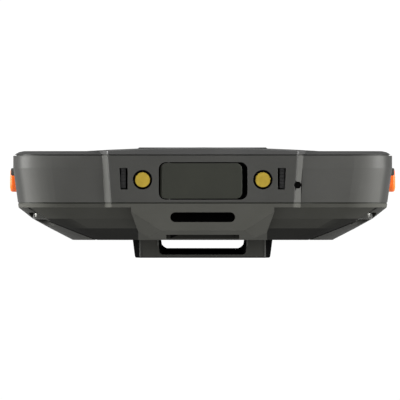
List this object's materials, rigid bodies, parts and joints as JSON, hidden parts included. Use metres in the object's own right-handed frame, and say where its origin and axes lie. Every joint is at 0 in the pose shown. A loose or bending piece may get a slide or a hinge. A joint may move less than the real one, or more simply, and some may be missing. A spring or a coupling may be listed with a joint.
{
  "type": "portable barcode data terminal",
  "caption": "Rugged hand-held terminal with a touch screen, side scan triggers, barcode window, covered charging port, cradle contacts, battery door and strap loop.",
  "frame": {"origin": "under the middle of the terminal, on the surface that its strap loop rests on", "axes": "+Z out of the screen, +Y towards the barcode window, -Y towards the charging port, +X to the right when the charging end faces the viewer and the screen is up"},
  "size_m": [0.0808, 0.16, 0.0235],
  "materials": {
    "casing_grey": "fine moulded grain, dark warm grey",
    "bezel_grey": "fine moulded grain with a satin edge",
    "black_glass": "black printed cover glass, polished",
    "display_black": "switched-off display panel",
    "chassis_metal": "die-cast, blasted",
    "board_green": "green solder mask",
    "screw_steel": "bright plated steel",
    "shield_steel": "tinned sheet steel",
    "insulator_black": "black moulded plastic",
    "cover_rubber": "smooth black rubber",
    "key_black": "black keys with a satin face",
    "battery_wrap": "black wrapped battery case",
    "contact_gold": "gold-plated contacts, lightly brushed",
    "antenna_brown": "ferrite sheet",
    "scan_red": "deep red tinted scan window",
    "mesh_steel": "blackened woven mesh",
    "lens_clear": "milky clear lens",
    "loop_black": "black glass-filled nylon",
    "seal_rubber": "black seal",
    "trigger_orange": "orange trigger, satin",
    "grip_rubber": "dark grey soft grip"
  },
  "bodies": {
    "casing": {"rear_housing": "casing_grey", "front_housing": "casing_grey", "screen_bezel": "bezel_grey", "brow_bumper": "seal_rubber", "touch_glass": "black_glass", "display_panel": "display_black", "mid_frame": "chassis_metal", "main_board": "board_green", "board_screws": "screw_steel", "processor_shield": "shield_steel", "radio_shield": "shield_steel", "vibration_motor": "shield_steel", "usb_shell": "shield_steel", "usb_tongue": "insulator_black", "bottom_microphone": "shield_steel", "port_cover_pin": "screw_steel", "power_switch": "insulator_black", "volume_rocker_pin": "screw_steel", "volume_switches": "insulator_black", "battery_pack": "battery_wrap", "battery_contact_block": "insulator_black", "battery_blades": "contact_gold", "card_socket": "shield_steel", "scan_window": "scan_red", "scan_engine": "insulator_black", "earpiece": "insulator_black", "earpiece_mesh": "mesh_steel", "front_camera": "insulator_black", "status_lens": "lens_clear", "camera_window": "black_glass", "rear_camera": "insulator_black", "flash_lamp": "lens_clear", "loudspeaker": "insulator_black", "speaker_mesh": "mesh_steel", "strap_loop": "loop_black", "loop_screws": "screw_steel", "casing_screws": "screw_steel", "housing_seal": "seal_rubber", "charging_contact_left": "contact_gold", "contact_seal_left": "seal_rubber", "trigger_switch_left": "insulator_black", "side_key_board_left": "board_green", "side_grip_left": "grip_rubber", "charging_contact_right": "contact_gold", "contact_seal_right": "seal_rubber", "trigger_switch_right": "insulator_black", "side_key_board_right": "board_green", "side_grip_right": "grip_rubber"},
    "port_cover": {"port_cover": "cover_rubber"},
    "trigger_left": {"trigger_left": "trigger_orange"},
    "trigger_right": {"trigger_right": "trigger_orange"},
    "power_key": {"power_key": "key_black"},
    "volume_rocker": {"volume_rocker": "key_black"},
    "battery_door": {"battery_door": "casing_grey", "nfc_antenna": "antenna_brown"},
    "door_latch_left": {"door_latch_left": "key_black"},
    "door_latch_right": {"door_latch_right": "key_black"}
  },
  "joints": [
    {"name": "port_cover_hinge", "type": "hinge", "parent": "casing", "child": "port_cover", "pos_m": [-0.007, -0.0789, 0.01615], "axis": [0, 0, -1], "range_deg": [0, 90]},
    {"name": "left_trigger_press", "type": "slide", "parent": "casing", "child": "trigger_left", "axis": [1, 0, 0], "range_m": [0, 0.0006], "stiffness_N_per_m": 1500, "springref_m": -0.0004},
    {"name": "right_trigger_press", "type": "slide", "parent": "casing", "child": "trigger_right", "axis": [-1, 0, 0], "range_m": [0, 0.0006], "stiffness_N_per_m": 1500, "springref_m": -0.0004},
    {"name": "power_key_press", "type": "slide", "parent": "casing", "child": "power_key", "axis": [-1, 0, 0], "range_m": [0, 0.0004], "stiffness_N_per_m": 1500, "springref_m": -0.0003},
    {"name": "volume_rocker_tilt", "type": "hinge", "parent": "casing", "child": "volume_rocker", "pos_m": [-0.0374, 0.047, 0.01635], "axis": [0, 0, 1], "range_deg": [-2.5, 2.5], "stiffness_Nm_per_rad": 0.2},
    {"name": "battery_door_hinge", "type": "hinge", "parent": "casing", "child": "battery_door", "pos_m": [0, -0.0592, 0.0048], "axis": [-1, 0, 0], "range_deg": [0, 35]},
    {"name": "left_latch_slide", "type": "slide", "parent": "battery_door", "child": "door_latch_left", "axis": [0, -1, 0], "range_m": [0, 0.0018], "stiffness_N_per_m": 250, "springref_m": -0.001},
    {"name": "right_latch_slide", "type": "slide", "parent": "battery_door", "child": "door_latch_right", "axis": [0, -1, 0], "range_m": [0, 0.0018], "stiffness_N_per_m": 250, "springref_m": -0.001}
  ]
}
